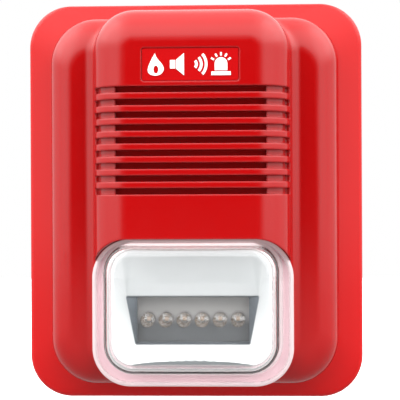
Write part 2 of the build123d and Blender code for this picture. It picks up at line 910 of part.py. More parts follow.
resistor_rows = [(x, z) for x in (-14.0, 0.0, 14.0) for z in (8.0, 13.0, 18.0)]
diode_rows = [(x, 25.0) for x in (-14.0, 0.0, 14.0)]


def axial_parts(places, radius, length):
    """Bodies that lie along X just above the board, with leads at both ends."""
    for x, z in places:
        for thickness, span in ((radius, length), (0.3, length + 4.0)):
            with BuildSketch(Plane.YZ.offset(x - span / 2)) as section:
                with Locations((-board_front - radius, z)):
                    Circle(thickness)
            extrude(section.sketch, amount=span)
        block(board_front, 0.6, 0.6, radius, [(x - length / 2 - 1.8, z), (x + length / 2 + 1.8, z)])


with BuildPart() as resistors:
    axial_parts(resistor_rows, 1.15, 6.2)
resistors.part.label = "resistors"

with BuildPart() as diodes:
    axial_parts(diode_rows, 1.35, 5.2)
diodes.part.label = "diodes"

with BuildPart() as wire_headers:
    block(board_front, 5.8, 4.8, 4.6, header_places)
    block(board_front + 1.2, 4.4, 3.4, 3.5, header_places, mode=Mode.SUBTRACT)
wire_headers.part.label = "wire_headers"

wire_start = board_front + 1.4
wire_rise = board_front + 4.9
with BuildPart() as led_wires:
    header_x, header_z = header_places[1]
    for shift in (-1.1, 1.1):
        wire(
            [
                (header_x + shift, wire_start, header_z),
                (header_x + shift, wire_rise, header_z - 0.2),
                (header_x + shift + 2.0, wire_rise + 1.2, header_z - 4.0),
                (-19.0 + shift, wire_rise + 1.0, -40.0),
                (-17.0 + shift, led_board_back - 1.5, -45.6),
                (-16.9 + shift, led_board_back - 0.5, -46.6),
            ],
            0.5,
        )
led_wires.part.label = "led_wires"

with BuildPart() as sounder_wires:
    header_x, header_z = header_places[0]
    wire_depth, wire_height = wire_hole
    for shift in (-0.8, 0.8):
        wire(
            [
                (header_x, wire_start, header_z + shift),
                (header_x, wire_rise, header_z + shift),
                (header_x + 0.2, wire_rise + 3.2, header_z + 1.2 + shift),
                (-24.8, wire_depth - 0.8, wire_height - 2.2 + shift),
                (-21.0, wire_depth, wire_height + shift),
                (-16.0, wire_depth + 0.3, wire_height + shift),
                (-12.6, wire_depth + 2.0, wire_height + shift),
                (-11.4, disc_back - 0.9, wire_height + shift),
            ],
            0.45,
        )
sounder_wires.part.label = "sounder_wires"

# --- Terminal block, on the wall side of the board ----------------------------------

cage_width = 3.7
cage_height = 5.2
cage_depth = 4.6
cage_back = terminal_back + 2.3
cage_travel = 1.4
clamp_screw_radius = 1.15
clamp_head_radius = 1.7

with BuildPart() as terminal_block:
    block(terminal_back, 20.6, 9.6, terminal_height, [(0, terminal_middle)])
    edges = terminal_block.edges().filter_by(Axis.X).group_by(Axis.Y)[-1]
    chamfer(edges, 0.8)
    for x, z in terminal_places:
        block(cage_back - 0.2, 4.1, 5.6, cage_depth + cage_travel + 0.6, [(x, z)], mode=Mode.SUBTRACT)
        posts(
            terminal_back,
            clamp_head_radius + running_gap,
            cage_back - terminal_back,
            [(x, z)],
            mode=Mode.SUBTRACT,
        )
        # Wire entry, from below.
        with BuildSketch(Plane.XY.offset(terminal_middle - 5)):
            with Locations((x, -cage_back - 2.6)):
                Rectangle(3.0, 3.0)
        extrude(amount=4, mode=Mode.SUBTRACT)
    posts(board_back - 2.0, 0.6, 2.0, pin_places, mode=Mode.SUBTRACT)
terminal_block.part.label = "terminal_block"

with BuildPart() as terminal_pins:
    posts(cage_back + cage_depth + cage_travel + 0.4, 0.5, 6.2, pin_places)
terminal_pins.part.label = "terminal_pins"

terminal_pieces = []
for way, place in enumerate(terminal_places, start=1):
    with BuildPart() as terminal_screw:
        posts(terminal_back + 0.3, clamp_head_radius, 1.5, [place])
        block(terminal_back + 0.3, 2.8, 0.6, 0.7, [place], mode=Mode.SUBTRACT)
        posts(terminal_back + 1.8, clamp_screw_radius, 2.6, [place])
    terminal_screw.part.label = f"terminal_screw_{way}"
    with BuildPart() as terminal_cage:
        block(cage_back, cage_width, cage_height, cage_depth, [place])
        block(cage_back + 1.1, 2.5, cage_height, cage_depth - 2.0, [place], mode=Mode.SUBTRACT)
        posts(cage_back, clamp_screw_radius + running_gap, 1.1, [place], mode=Mode.SUBTRACT)
    terminal_cage.part.label = f"terminal_cage_{way}"
    terminal_pieces += [terminal_screw, terminal_cage]

# --- Setting switch, on the wall side of the board ----------------------------------

switch_place = (-7.0, 22.0)
switch_height = 2.6
slider_gap = 2.54
slider_travel = 1.5
slider_places = [(switch_place[0] + side * slider_gap / 2, switch_place[1]) for side in (-1, 1)]

with BuildPart() as setting_switch:
    block(board_back - switch_height, 6.6, 9.2, switch_height, [switch_place])
    wells = [(x, z + slider_travel / 2) for x, z in slider_places]
    block(board_back - switch_height, 1.3, 3.3, 1.4, wells, mode=Mode.SUBTRACT)
setting_switch.part.label = "setting_switch"

slider_pieces = []
for way, place in enumerate(slider_places, start=1):
    with BuildPart() as switch_slider:
        block(board_back - switch_height - 0.7, 1.1, 1.4, 2.0, [place])
    switch_slider.part.label = f"switch_slider_{way}"
    slider_pieces.append(switch_slider)

# --- Lock screw, its clip and its nut -----------------------------------------------

lock_shank = 1.5
clip_bottom = lock_boss_top + 0.05
clip_thickness = 0.8
nut_bottom = tab_top + 0.3
nut_thickness = 2.4


def upright(bottom, radius, height, mode=Mode.ADD):
    """A cylinder on the lock screw's vertical axis."""
    with BuildSketch(Plane.XY.offset(bottom)) as outline:
        with Locations((0, -lock_depth)):
            Circle(radius)
    extrude(outline.sketch, amount=height, mode=mode)


with BuildPart() as lock_screw:
    upright(lock_head_top - 1.6, 2.75, 1.6)
    upright(lock_head_top, lock_shank, clip_bottom - lock_head_top)
    upright(clip_bottom, 1.15, clip_thickness)
    upright(clip_bottom + clip_thickness, lock_shank, 7.6)
    with BuildSketch(Plane.XY.offset(lock_head_top - 1.6)):
        with Locations((0, -lock_depth)):
            Rectangle(3.4, 0.7)
            Rectangle(0.7, 3.4)
    extrude(amount=1.0, mode=Mode.SUBTRACT)
lock_screw.part.label = "lock_screw"

with BuildPart() as lock_clip:
    with BuildSketch(Plane.XY.offset(clip_bottom + 0.02)):
        with Locations((0, -lock_depth)):
            Circle(3.0)
            Circle(1.2, mode=Mode.SUBTRACT)
        with Locations((0, -lock_depth - 2)):
            Rectangle(1.7, 4, mode=Mode.SUBTRACT)
    extrude(amount=clip_thickness - 0.04)
lock_clip.part.label = "lock_clip"

with BuildPart() as lock_nut:
    with BuildSketch(Plane.XY.offset(nut_bottom)):
        with Locations((0, -lock_depth)):
            Rectangle(6.0, 6.0)
            Circle(lock_shank + running_gap, mode=Mode.SUBTRACT)
    extrude(amount=nut_thickness)
lock_nut.part.label = "lock_nut"

# --- Write one file for each piece --------------------------------------------------

pieces = (
    mounting_plate,
    front_cover,
    strobe_lens,
    lens_gasket,
    sound_baffle,
    label_plate,
    label_symbols,
    reflector,
    reflector_screws,
    led_board,
    led_board_screws,
    strobe_leds,
    led_leads,
    led_resistors,
    sounder_case,
    piezo_disc,
    piezo_ceramic,
    sounder_ring,
    sounder_foam,
    sounder_screws,
    main_board,
    board_screws,
    capacitors,
    inductor_core,
    inductor_winding,
    power_transistor,
    controller_chip,
    resistors,
    diodes,
    wire_headers,
    led_wires,
    sounder_wires,
    terminal_block,
    terminal_pins,
    setting_switch,
    lock_screw,
    lock_clip,
    lock_nut,
    *terminal_pieces,
    *slider_pieces,
)
os.makedirs("parts", exist_ok=True)
for piece in pieces:
    export_step(piece.part, f"parts/{piece.part.label}.step")
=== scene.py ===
import json
import math

import bmesh
import bpy
from mathutils import Matrix, Vector


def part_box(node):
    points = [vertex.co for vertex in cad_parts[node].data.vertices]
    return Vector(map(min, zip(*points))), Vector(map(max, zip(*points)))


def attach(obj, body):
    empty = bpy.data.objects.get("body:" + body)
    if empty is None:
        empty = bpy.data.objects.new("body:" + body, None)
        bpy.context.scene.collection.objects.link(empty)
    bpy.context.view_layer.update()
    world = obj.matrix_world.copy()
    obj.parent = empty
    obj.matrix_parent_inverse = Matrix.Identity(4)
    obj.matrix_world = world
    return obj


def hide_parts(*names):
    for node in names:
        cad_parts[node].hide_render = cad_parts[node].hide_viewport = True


# A wall-mounted horn strobe, in metres, in the CAD frame: +Z up, the front faces -Y.

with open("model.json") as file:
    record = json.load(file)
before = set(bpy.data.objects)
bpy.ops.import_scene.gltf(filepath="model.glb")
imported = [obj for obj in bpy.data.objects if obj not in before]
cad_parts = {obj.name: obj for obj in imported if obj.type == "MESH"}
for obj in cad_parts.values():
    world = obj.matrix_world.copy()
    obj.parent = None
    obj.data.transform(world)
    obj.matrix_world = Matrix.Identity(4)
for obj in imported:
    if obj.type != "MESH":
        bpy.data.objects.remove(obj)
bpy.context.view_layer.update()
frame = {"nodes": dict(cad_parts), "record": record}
nodes = frame["nodes"]
scene = bpy.context.scene

MM = 0.001


# --- Node helpers -------------------------------------------------------------------


class Nodes:
    """A node tree, emptied and then built up by short calls."""

    def __init__(self, owner):
        owner.use_nodes = True
        self.tree = owner.node_tree
        self.tree.nodes.clear()

    def node(self, kind, **settings):
        made = self.tree.nodes.new("ShaderNode" + kind)
        for key, value in settings.items():
            setattr(made, key, value)
        return made

    def feed(self, socket, value):
        if isinstance(value, bpy.types.NodeSocket):
            self.tree.links.new(value, socket)
        else:
            socket.default_value = value

    def parts(self, vector):
        """The X, Y and Z of a vector."""
        split = self.node("SeparateXYZ")
        self.feed(split.inputs[0], vector)
        return split.outputs

    def maths(self, operation, first, second=0.0):
        made = self.node("Math", operation=operation)
        self.feed(made.inputs[0], first)
        self.feed(made.inputs[1], second)
        return made.outputs[0]

    def ramp(self, source, low, high, start=0.0, end=1.0):
        """Maps a stretch of the source's values onto a range of numbers, clamped."""
        made = self.node("MapRange")
        self.feed(made.inputs["Value"], source)
        made.inputs["From Min"].default_value = start
        made.inputs["From Max"].default_value = end
        made.inputs["To Min"].default_value = low
        made.inputs["To Max"].default_value = high
        return made.outputs[0]


class Shader(Nodes):
    """A material's node tree."""

    def __init__(self, name):
        self.material = bpy.data.materials.new(name)
        super().__init__(self.material)
        self.output = self.node("OutputMaterial")
        self.place = self.node("TexCoord").outputs["Object"]

    def surface(self, shader):
        self.feed(self.output.inputs["Surface"], shader)
        return self.material

    def principled(self, **values):
        shader = self.node("BsdfPrincipled")
        for key, value in values.items():
            self.feed(shader.inputs[key.replace("_", " ")], value)
        return shader.outputs[0]

    def axis(self, name):
        """One coordinate of the point being shaded, in the object's frame."""
        return self.parts(self.place)[name]

    def facing(self):
        """The X, Y and Z of the surface's direction."""
        return self.parts(self.node("NewGeometry").outputs["Normal"])

    def noise(self, size, detail=3.0, roughness=0.5, stretch=(1, 1, 1)):
        """Noise whose features are about size metres across."""
        mapping = self.node("Mapping")
        mapping.inputs["Scale"].default_value = stretch
        self.feed(mapping.inputs["Vector"], self.place)
        made = self.node("TexNoise")
        self.feed(made.inputs["Vector"], mapping.outputs[0])
        made.inputs["Scale"].default_value = 1.0 / size
        made.inputs["Detail"].default_value = detail
        made.inputs["Roughness"].default_value = roughness
        return made.outputs["Fac"]

    def mix(self, factor, first, second):
        """Blends two colours."""
        made = self.node("Mix", data_type="RGBA")
        self.feed(made.inputs[0], factor)
        self.feed(made.inputs[6], first)
        self.feed(made.inputs[7], second)
        return made.outputs[2]

    def blend(self, factor, first, second):
        """Blends two shaders."""
        made = self.node("MixShader")
        self.feed(made.inputs[0], factor)
        self.feed(made.inputs[1], first)
        self.feed(made.inputs[2], second)
        return made.outputs[0]

    def bump(self, height, distance, strength=1.0, normal=None):
        made = self.node("Bump")
        self.feed(made.inputs["Height"], height)
        made.inputs["Distance"].default_value = distance
        made.inputs["Strength"].default_value = strength
        if normal is not None:
            self.feed(made.inputs["Normal"], normal)
        return made.outputs[0]

    def soft_edges(self, radius):
        """The normal, rounded over sharp edges."""
        made = self.node("Bevel", samples=6)
        made.inputs["Radius"].default_value = radius
        return made.outputs[0]


def colour(red, green, blue):
    return (red, green, blue, 1.0)


def shade(base, amount):
    """A colour made lighter or darker by a share."""
    return colour(*[min(1.0, max(0.0, channel * (1 + amount))) for channel in base])


# --- Materials ----------------------------------------------------------------------


def plastic(name, base, roughness=0.3, grain=0.4 * MM, bump=0.01 * MM, spread=0.06, edge=0.0, **extra):
    """Moulded plastic: slight colour drift, uneven gloss and a fine texture of this grain.
    edge is the radius of its softened edges."""
    s = Shader(name)
    normal = s.soft_edges(edge) if edge else None
    return s.surface(
        s.principled(
            Base_Color=s.mix(s.noise(14 * MM, 4), shade(base, -spread), shade(base, spread)),
            Roughness=s.ramp(s.noise(6 * MM, 5), roughness * 0.85, roughness * 1.15),
            Normal=s.bump(s.noise(grain, 2), bump, normal=normal),
            **extra,
        )
    )


def metal(name, base, roughness=0.3, stretch=(1, 1, 12), grain=0.25 * MM, bump=0.004 * MM):
    """Metal with a directional finish, small scratches and dull patches."""
    s = Shader(name)
    lines = s.noise(grain, 3, stretch=stretch)
    patches = s.ramp(s.noise(4 * MM, 5), 0.0, 1.0, 0.35, 0.75)
    return s.surface(
        s.principled(
            Base_Color=s.mix(patches, colour(*base), shade(base, -0.28)),
            Metallic=1.0,
            Roughness=s.ramp(lines, roughness * 0.7, roughness * 1.4),
            Normal=s.bump(lines, bump),
        )
    )


# A cloudy moulded edge is pale pink, from the ring behind it. It also has a painted glow:
# an emission that stands in for the light that the clear plastic carries to it.
CLOUDY_TINT = (0.42, 0.3, 0.31)
PAINTED_GLOW_TINT = (1.0, 0.78, 0.79)
PAINTED_EDGE_GLOW = 0.3


def clear_plastic(name, tint=(1, 1, 1), roughness=0.015, frost=None, rim=None):
    """Polished clear plastic. Light that has already scattered passes straight through,
    so that the pieces inside are lit as brightly as real ones are. frost makes a part of it
    cloudy and gives it a painted glow, and rim is a painted shade: a darker tint where it is
    seen edge on, standing in for the dark surroundings reflected there."""
    s = Shader(name)
    ripple = s.bump(s.noise(9 * MM, 2), 0.015 * MM)
    cloudy = frost(s) if frost else 0.0
    gloss = s.ramp(s.noise(5 * MM, 4), roughness, roughness * 2.0)
    # Painted shade: the tint turns to rim where the surface is seen edge on, standing in for the dark
    # surroundings it reflects there.
    edge_on_painted_shade = s.ramp(s.node("LayerWeight").outputs["Facing"], 0.0, 1.0, 0.35, 0.85)
    body = s.mix(edge_on_painted_shade, colour(*tint), colour(*(rim or tint)))
    glass = s.principled(
        Base_Color=s.mix(cloudy, body, colour(*CLOUDY_TINT)),
        Roughness=gloss,
        Transmission_Weight=s.ramp(cloudy, 1.0, 0.0),
        IOR=1.5,
        Normal=ripple,
        # The emission is a painted glow on the cloudy parts, not a lamp.
        Emission_Color=colour(*PAINTED_GLOW_TINT),
        Emission_Strength=s.ramp(cloudy, 0.0, PAINTED_EDGE_GLOW),
    )
    path = s.node("LightPath")
    scattered = s.maths("MAXIMUM", path.outputs["Is Shadow Ray"], path.outputs["Is Diffuse Ray"])
    clear = s.maths("MULTIPLY", scattered, s.ramp(cloudy, 1.0, 0.3))
    through = s.node("BsdfTransparent")
    through.inputs[0].default_value = colour(0.97, 0.97, 0.97)
    return s.surface(s.blend(clear, glass, through.outputs[0]))


def offset_from(s, axis, level):
    """How far the point being shaded is from a level on an axis, on either side."""
    return s.maths("ABSOLUTE", s.maths("SUBTRACT", s.axis(axis), level))


def rounded_reach(s, middle, half, corner):
    """Distance out from the core of a rounded rectangle in X and Z. The core is the rectangle
    that its corners turn about, so at its edge this distance is the corner's radius."""
    squares = []
    for axis, level, reach in zip("XZ", middle, half):
        beyond = s.maths("SUBTRACT", offset_from(s, axis, level), reach - corner)
        outside = s.maths("MAXIMUM", beyond, 0.0)
        squares.append(s.maths("MULTIPLY", outside, outside))
    return s.maths("SQRT", s.maths("ADD", *squares))


# The lens's flange, and how wide its cloudy edge is.
FLANGE_CORNER = 13 * MM
RIM_FROST = 1.9 * MM
# The dome's foot on the flange, and how far the haze of its moulded corner spreads.
FOOT_MIDDLE = (0.0, -36.0 * MM)
FOOT_HALF = (29.85 * MM, 22.3 * MM)
FOOT_CORNER = 10.5 * MM
FOOT_HAZE = 0.9 * MM
# From this far forward the dome is clear, and from this far back it is at its haziest.
HAZE_FRONT = -34 * MM
HAZE_BACK = -31 * MM


def lens_frost(s):
    """Cloudy on the flange's outer edge and, faintly, in the corner where the dome meets it.
    The cloudy parts also carry the painted glow.
    """
    low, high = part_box("strobe_lens")
    centre = (low + high) / 2
    half = (high - low) / 2
    flange = rounded_reach(s, (centre.x, centre.z), (half.x, half.z), FLANGE_CORNER)
    rim = s.ramp(flange, 0.0, 0.8, FLANGE_CORNER - RIM_FROST, FLANGE_CORNER - 0.3 * RIM_FROST)
    foot = rounded_reach(s, FOOT_MIDDLE, FOOT_HALF, FOOT_CORNER)
    away = s.maths("ABSOLUTE", s.maths("SUBTRACT", foot, FOOT_CORNER))
    near_foot = s.ramp(s.axis("Y"), 0.0, 1.0, HAZE_FRONT, HAZE_BACK)
    haze = s.maths("MULTIPLY", near_foot, s.ramp(away, 0.5, 0.0, 0.3 * FOOT_HAZE, FOOT_HAZE))
    return s.maths("MAXIMUM", rim, haze)


# The reflector's neck: its mouth's depth, half width, middle and half height.
NECK_FRONT = -31.0 * MM
NECK_HALF_WIDTH = 23.7 * MM
NECK_MIDDLE = -40.4 * MM
NECK_HALF_HEIGHT = 9.5 * MM
COAT_FADE = 0.1 * MM


def reflector_coat():
    """Bright satin coating. The deep neck that the lamps look through is painted dark grey-blue,
    a painted reflection of the dark surroundings its steep faces mirror, and faces that turn
    forward and down, in the hollow under the lower lip, are painted grey as painted shade."""
    s = Shader("reflector_coat")

    def within(offset, half):
        return s.ramp(offset, 1.0, 0.0, half - COAT_FADE, half + COAT_FADE)

    deep = s.ramp(s.axis("Y"), 0.0, 1.0, NECK_FRONT - 2 * COAT_FADE, NECK_FRONT + 2 * COAT_FADE)
    across = within(offset_from(s, "X", 0.0), NECK_HALF_WIDTH)
    upright = within(offset_from(s, "Z", NECK_MIDDLE), NECK_HALF_HEIGHT)
    neck = s.maths("MULTIPLY", deep, s.maths("MULTIPLY", across, upright))
    drift = s.noise(7 * MM, 3)
    # Painted shade: faces that turn forward and down are painted grey, for the dim light that reaches
    # them from below.
    forward, downward = (s.ramp(s.facing()[axis], 1.0, 0.0, -0.45, -0.35) for axis in "YZ")
    painted_scoop_shade = s.maths("MULTIPLY", forward, downward)
    bright = s.mix(drift, colour(0.7, 0.73, 0.735), colour(0.77, 0.79, 0.795))
    coat = s.principled(
        Base_Color=s.mix(painted_scoop_shade, bright, colour(0.3, 0.34, 0.35)),
        Roughness=s.ramp(drift, 0.08, 0.16),
        Specular_IOR_Level=0.8,
    )
    # Painted reflection: the neck is painted dark grey-blue, standing in for the dark surroundings
    # that its steep faces mirror.
    neck_painted_reflection = s.principled(
        Base_Color=s.mix(drift, colour(0.1, 0.12, 0.14), colour(0.2, 0.23, 0.26)),
        Roughness=0.3,
        Metallic=0.3,
    )
    return s.surface(s.blend(neck, coat, neck_painted_reflection))


# The lamp board's dark lower part fades into its pale upper part between these heights.
BOARD_DARK = -42.5 * MM
BOARD_PALE = -38.5 * MM


def lamp_board():
    """A board that is pale above the lamps and dark grey below them."""
    s = Shader("white_laminate")
    height = s.maths("ADD", s.axis("Z"), s.ramp(s.noise(8 * MM, 2), -0.4 * MM, 0.4 * MM))
    upper = s.ramp(height, 0.0, 1.0, BOARD_DARK, BOARD_PALE)
    return s.surface(
        s.principled(
            Base_Color=s.mix(upper, colour(0.12, 0.128, 0.135), colour(0.42, 0.41, 0.4)),
            Roughness=0.35,
            Normal=s.bump(s.noise(0.8 * MM, 3), 0.03 * MM),
        )
    )


def capacitor_can():
    """A dark sleeve with a pale stripe, and an uncovered aluminium end."""
    s = Shader("capacitor_sleeve")
    facing = s.facing()
    end = s.ramp(facing["Y"], 1.0, 0.0, -0.95, -0.85)
    stripe = s.ramp(facing["Z"], 0.0, 1.0, 0.86, 0.88)
    drift = s.noise(3 * MM, 3)
    sleeve = s.mix(drift, colour(0.008, 0.012, 0.055), colour(0.014, 0.02, 0.08))
    printed = s.mix(stripe, sleeve, colour(0.45, 0.47, 0.5))
    return s.surface(
        s.principled(
            Base_Color=s.mix(end, printed, colour(0.78, 0.78, 0.8)),
            Metallic=end,
            Roughness=s.ramp(drift, 0.25, 0.38),
            Normal=s.bump(s.noise(0.5 * MM, 2), 0.01 * MM),
        )
    )


# The pitch of the resistors and diodes along X, and half the length of a body.
AXIAL_PITCH = 14.0 * MM
AXIAL_HALF_BODY = 3.1 * MM


def banded(name, body, bands, roughness):
    """Parts with leads that lie along X, with bands given as (x offset, width, colour)."""
    s = Shader(name)
    # Twenty pitches keep the remainder positive, and the half puts its middle on a part.
    shifted = s.maths("ADD", s.axis("X"), AXIAL_PITCH * 20.5)
    local = s.maths("SUBTRACT", s.maths("MODULO", shifted, AXIAL_PITCH), AXIAL_PITCH / 2)
    tone = s.mix(s.noise(2 * MM, 3), shade(body, -0.1), shade(body, 0.1))
    for offset, width, band in bands:
        distance = s.maths("ABSOLUTE", s.maths("SUBTRACT", local, offset))
        inside = s.ramp(distance, 1.0, 0.0, width / 2 - 0.05 * MM, width / 2)
        tone = s.mix(inside, tone, colour(*band))
    from_middle = s.maths("ABSOLUTE", local)
    lead = s.ramp(from_middle, 0.0, 1.0, AXIAL_HALF_BODY - 0.02 * MM, AXIAL_HALF_BODY + 0.02 * MM)
    return s.surface(
        s.principled(
            Base_Color=s.mix(lead, tone, colour(0.78, 0.78, 0.76)),
            Metallic=lead,
            Roughness=roughness,
            Normal=s.bump(s.noise(0.3 * MM, 2), 0.01 * MM),
        )
    )


RESISTOR_BANDS = [
    (-1.9 * MM, 0.6 * MM, (0.1, 0.035, 0.01)),
    (-0.8 * MM, 0.6 * MM, (0.01, 0.01, 0.01)),
    (0.3 * MM, 0.6 * MM, (0.5, 0.12, 0.01)),
    (1.9 * MM, 0.6 * MM, (0.55, 0.4, 0.12)),
]
DIODE_BANDS = [(-1.7 * MM, 0.7 * MM, (0.6, 0.6, 0.6))]

BLACK = (0.02, 0.02, 0.022)
COVER_RED = (0.355, 0.0012, 0.0016)
# Painted light: the plate is the cover's red made lighter, standing in for the brighter light that
# falls on the plate.
PLATE_RED_PAINTED_LIGHTER = shade(COVER_RED, 0.4)[:3]
LABEL_RED = (0.44, 0.003, 0.004)
housing = dict(roughness=0.18, bump=0.003 * MM, spread=0.02, edge=0.9 * MM)
materials = {
    "red_housing": plastic("red_abs", COVER_RED, Specular_IOR_Level=0.4, **housing),
    "red_plate_painted_lighter": plastic("red_abs_plate_painted_lighter", PLATE_RED_PAINTED_LIGHTER, Specular_IOR_Level=0.3, **housing),
    "red_label": plastic("red_film", LABEL_RED, roughness=0.16, bump=0.003 * MM),
    "label_white": plastic("white_ink", (0.93, 0.93, 0.92), roughness=0.35, bump=0.006 * MM),
    "silicone": plastic("silicone", (0.84, 0.56, 0.61), roughness=0.45),
    "reflector_coat": reflector_coat(),
    "white_laminate": lamp_board(),
    "green_laminate": plastic("green_laminate", (0.02, 0.16, 0.05), roughness=0.35),
    "tinned_metal": metal("tinned_metal", (0.8, 0.8, 0.78), roughness=0.25),
    "chip_black": plastic("chip_black", BLACK, roughness=0.5, bump=0.02 * MM),
    "sounder_black": plastic("sounder_black", BLACK, roughness=0.45),
    "brass_disc": metal("brass_disc", (0.83, 0.62, 0.28), roughness=0.25),
    "ceramic_grey": plastic("ceramic_grey", (0.66, 0.66, 0.62), roughness=0.5),
    "foam_black": plastic("foam_black", (0.02, 0.02, 0.02), roughness=0.95, bump=0.2 * MM),
    "capacitor_sleeve": capacitor_can(),
    "ferrite": plastic("ferrite", (0.03, 0.03, 0.032), roughness=0.55, bump=0.03 * MM),
    "copper_winding": metal("copper_winding", (0.75, 0.25, 0.09), roughness=0.3),
    "resistor_glaze": banded("resistor_glaze", (0.5, 0.36, 0.2), RESISTOR_BANDS, 0.35),
    "diode_black": banded("diode_black", BLACK, DIODE_BANDS, 0.4),
    "track_mask": plastic("track_mask", (0.035, 0.26, 0.08), roughness=0.3),
    "die_amber": plastic(
        "die_amber", (0.36, 0.27, 0.2), roughness=0.4, grain=0.05 * MM, bump=0.002 * MM
    ),
    "header_white": plastic("header_white", (0.75, 0.73, 0.66), roughness=0.45),
    "wire_red": plastic("wire_red", (0.45, 0.01, 0.01), roughness=0.4),
    "wire_black": plastic("wire_black", (0.015, 0.015, 0.015), roughness=0.4),
    "terminal_green": plastic("terminal_green", (0.02, 0.2, 0.05), roughness=0.4),
    "switch_blue": plastic("switch_blue", (0.01, 0.04, 0.25), roughness=0.4),
    "screw_steel": metal("screw_steel", (0.75, 0.75, 0.73), roughness=0.28),
    "clear_lens": clear_plastic("clear_lens", frost=lens_frost),
    # The lamps' epoxy gets a painted dark rim where it is seen edge on, standing in for reflected
    # shade.
    "clear_epoxy": clear_plastic("clear_epoxy", (0.92, 0.89, 0.88), rim=(0.3, 0.27, 0.26)),
}

# Two nodes look different from the others with their material slot: the diodes by their bands, and the
# mounting plate by painted light, the cover's red made lighter.
finish_and_painted_light = {"diodes": "diode_black", "mounting_plate": "red_plate_painted_lighter"}
for entry in frame["record"]["subparts"]:
    name = entry["node"]
    slots = nodes[name].data.materials
    slots.clear()
    slots.append(materials[finish_and_painted_light.get(name, entry["material_slot"])])


# --- Small pieces that CAD leaves plain ---------------------------------------------

# Faces that meet at more than this are left sharp in a smooth piece.
SHARP_ANGLE = math.radians(40)


def square(x, z, half):
    """The corners of a square about a point."""
    return [(x - half, z - half), (x + half, z - half), (x + half, z + half), (x - half, z + half)]


class Builder:
    """Collects simple solids in one mesh, then rides it on a body."""

    def __init__(self):
        self.mesh = bmesh.new()

    def skin(self, rings, sides):
        """Joins rings of points, or single end points, into a closed solid."""
        for first, second in zip(rings, rings[1:]):
            for step in range(sides):
                after = (step + 1) % sides
                if len(first) == 1:
                    corners = (first[0], second[after], second[step])
                elif len(second) == 1:
                    corners = (first[step], first[after], second[0])
                else:
                    corners = (first[step], first[after], second[after], second[step])
                self.mesh.faces.new(corners)
        for ring in (rings[0], rings[-1]):
            if len(ring) > 1:
                self.mesh.faces.new(ring)

    def lathe(self, centre, profile, sides=20):
        """Turns (radius, y) points about an axis along Y through centre = (x, z)."""
        rings = []
        for radius, level in profile:
            if radius == 0:
                rings.append([self.mesh.verts.new((centre[0], level, centre[1]))])
                continue
            ring = []
            for step in range(sides):
                turn = 2 * math.pi * step / sides
                x = centre[0] + radius * math.cos(turn)
                z = centre[1] + radius * math.sin(turn)
                ring.append(self.mesh.verts.new((x, level, z)))
            rings.append(ring)
        self.skin(rings, sides)

    def coil(self, centre, radius, wire, start, pitch, turns, sides=8, steps=36):
        """Winds a wire, itself of radius wire, about an axis along Y, forwards from start."""
        rings = []
        for step in range(turns * steps + 1):
            turn = 2 * math.pi * step / steps
            level = start - pitch * step / steps
            ring = []
            for side in range(sides):
                angle = 2 * math.pi * side / sides
                reach = radius + wire * math.cos(angle)
                x = centre[0] + reach * math.cos(turn)
                z = centre[1] + reach * math.sin(turn)
                ring.append(self.mesh.verts.new((x, level + wire * math.sin(angle), z)))
            rings.append(ring)
        self.skin(rings, sides)

    def slab(self, outline, back, face):
        """A flat solid between two y levels, from (x, z) corners."""
        lower = [self.mesh.verts.new((x, back, z)) for x, z in outline]
        upper = [self.mesh.verts.new((x, face, z)) for x, z in outline]
        self.mesh.faces.new(lower)
        self.mesh.faces.new(list(reversed(upper)))
        for step in range(len(outline)):
            after = (step + 1) % len(outline)
            self.mesh.faces.new((lower[step], upper[step], upper[after], lower[after]))

    def strip(self, start, end, width, back, face, steps=6):
        """A flat bar with round ends between two (x, z) points."""
        turn = math.atan2(end[1] - start[1], end[0] - start[0])
        outline = []
        for centre, first in ((end, turn - math.pi / 2), (start, turn + math.pi / 2)):
            for step in range(steps + 1):
                angle = first + math.pi * step / steps
                x = centre[0] + width / 2 * math.cos(angle)
                z = centre[1] + width / 2 * math.sin(angle)
                outline.append((x, z))
        self.slab(outline, back, face)

    def place(self, name, material, slot, smooth=True):
        """Makes the piece from the collected solids. All of them ride on the cover."""
        bmesh.ops.recalc_face_normals(self.mesh, faces=self.mesh.faces)
        data = bpy.data.meshes.new(name)
        self.mesh.to_mesh(data)
        self.mesh.free()
        for face in data.polygons:
            face.use_smooth = smooth
        obj = bpy.data.objects.new(name, data)
        scene.collection.objects.link(obj)
        data.materials.append(material)
        if smooth:
            data.set_sharp_from_angle(angle=SHARP_ANGLE)
        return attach(obj, "cover")


def islands(name):
    """The (lowest, highest) corners of each separate solid in a CAD node, in rows upwards."""
    data = nodes[name].data
    # Points that meet share one key, their place in whole microns.
    keys = [tuple(round(c * 1e6) for c in vertex.co) for vertex in data.vertices]
    leader = {key: key for key in keys}

    def find(key):
        while leader[key] != key:
            leader[key] = leader[leader[key]]
            key = leader[key]
        return key

    for edge in data.edges:
        first, second = (find(keys[index]) for index in edge.vertices)
        if first != second:
            leader[second] = first
    groups = {}
    for vertex, key in zip(data.vertices, keys):
        groups.setdefault(find(key), []).append(vertex.co)
    boxes = []
    for points in groups.values():
        low = Vector([min(p[i] for p in points) for i in range(3)])
        high = Vector([max(p[i] for p in points) for i in range(3)])
        boxes.append((low, high))
    return sorted(boxes, key=lambda pair: (round(pair[0].z, 5), round(pair[0].x, 5)))


def middle(box):
    """The (x, z) middle of a box."""
    low, high = box
    return ((low.x + high.x) / 2, (low.z + high.z) / 2)


# The lamps' lead frames: how far the cup's rim is from the lamp's back, the spacing of the
# leads, and the cup's profile as (radius, depth behind its rim) points.
CUP_REACH = 4.3 * MM
LEAD_PITCH = 2.54 * MM
CUP_FLOOR = 0.55 * MM
CUP = [
    (0.5 * MM, 1.3 * MM),
    (1.15 * MM, 0.9 * MM),
    (1.25 * MM, 0.0),
    (1.05 * MM, 0.0),
    (0.5 * MM, CUP_FLOOR),
    (0, CUP_FLOOR),
]
ARM_THICKNESS = 0.4 * MM
DIE_HALF = 0.22 * MM
DIE_THICKNESS = 0.2 * MM


